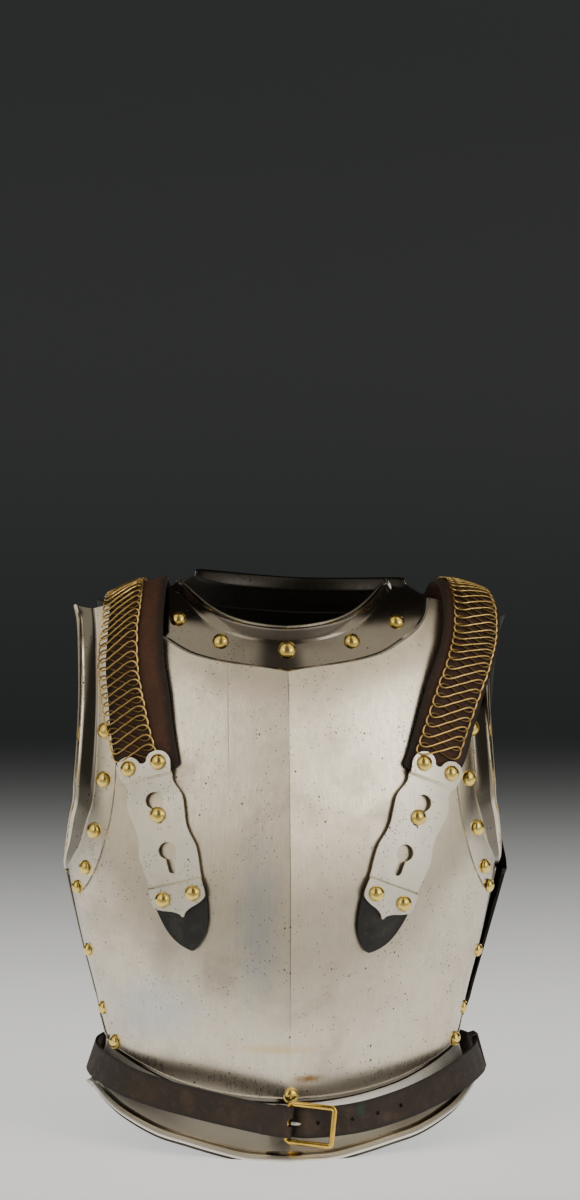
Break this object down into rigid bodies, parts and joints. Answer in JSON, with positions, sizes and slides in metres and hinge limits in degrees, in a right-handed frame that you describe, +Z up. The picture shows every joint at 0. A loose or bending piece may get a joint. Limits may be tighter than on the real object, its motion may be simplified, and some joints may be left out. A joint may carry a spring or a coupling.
{
  "type": "cuirass",
  "caption": "Steel cuirass with ridged breastplate, backplate, chain covered leather shoulder straps and a buckled leather waist belt.",
  "frame": {"origin": "middle of the base: halfway across the overall width and depth, on the plane that the two skirt rims stand on", "axes": "+Z up, -Y towards the front of the breastplate, +X towards the viewer's right"},
  "size_m": [0.3748, 0.2684, 0.4714],
  "materials": {
    "polished_steel": "polished",
    "dark_steel": "polished",
    "hasp_steel": "satin",
    "strap_leather": "worn",
    "black_leather": "worn",
    "belt_leather": "worn",
    "chain_brass": "worn",
    "brass": "polished",
    "buckle_brass": "polished",
    "prong_steel": "polished"
  },
  "bodies": {
    "root": {"arm_rivet_left_1": "brass", "arm_rivet_left_2": "brass", "arm_rivet_left_3": "brass", "arm_rivet_left_4": "brass", "arm_rivet_right_1": "brass", "arm_rivet_right_2": "brass", "arm_rivet_right_3": "brass", "arm_rivet_right_4": "brass", "back_neck_rivet_1": "brass", "back_neck_rivet_2": "brass", "back_neck_rivet_3": "brass", "backplate": "dark_steel", "belt_buckle_side": "belt_leather", "belt_keeper": "belt_leather", "belt_rivet_left_1": "brass", "belt_rivet_left_2": "brass", "belt_rivet_right_1": "brass", "belt_rivet_right_2": "brass", "belt_tongue_side": "belt_leather", "breastplate": "polished_steel", "buckle_frame": "buckle_brass", "buckle_prong": "prong_steel", "chain_band_left": "chain_brass", "chain_band_right": "chain_brass", "hasp_left": "hasp_steel", "hasp_right": "hasp_steel", "hasp_rivet_left_1": "brass", "hasp_rivet_left_2": "brass", "hasp_rivet_left_3": "brass", "hasp_rivet_left_4": "brass", "hasp_rivet_right_1": "brass", "hasp_rivet_right_2": "brass", "hasp_rivet_right_3": "brass", "hasp_rivet_right_4": "brass", "hasp_stud_left": "brass", "hasp_stud_right": "brass", "leather_tab_left": "black_leather", "leather_tab_right": "black_leather", "neck_rivet_1": "brass", "neck_rivet_2": "brass", "neck_rivet_3": "brass", "neck_rivet_4": "brass", "neck_rivet_5": "brass", "shoulder_strap_left": "strap_leather", "shoulder_strap_right": "strap_leather", "side_rivet_left_1": "brass", "side_rivet_left_2": "brass", "side_rivet_left_3": "brass", "side_rivet_right_1": "brass", "side_rivet_right_2": "brass", "side_rivet_right_3": "brass", "strap_rivet_left_1": "brass", "strap_rivet_left_2": "brass", "strap_rivet_right_1": "brass", "strap_rivet_right_2": "brass", "waist_stud_centre": "brass", "waist_stud_left": "brass", "waist_stud_right": "brass"}
  },
  "joints": []
}
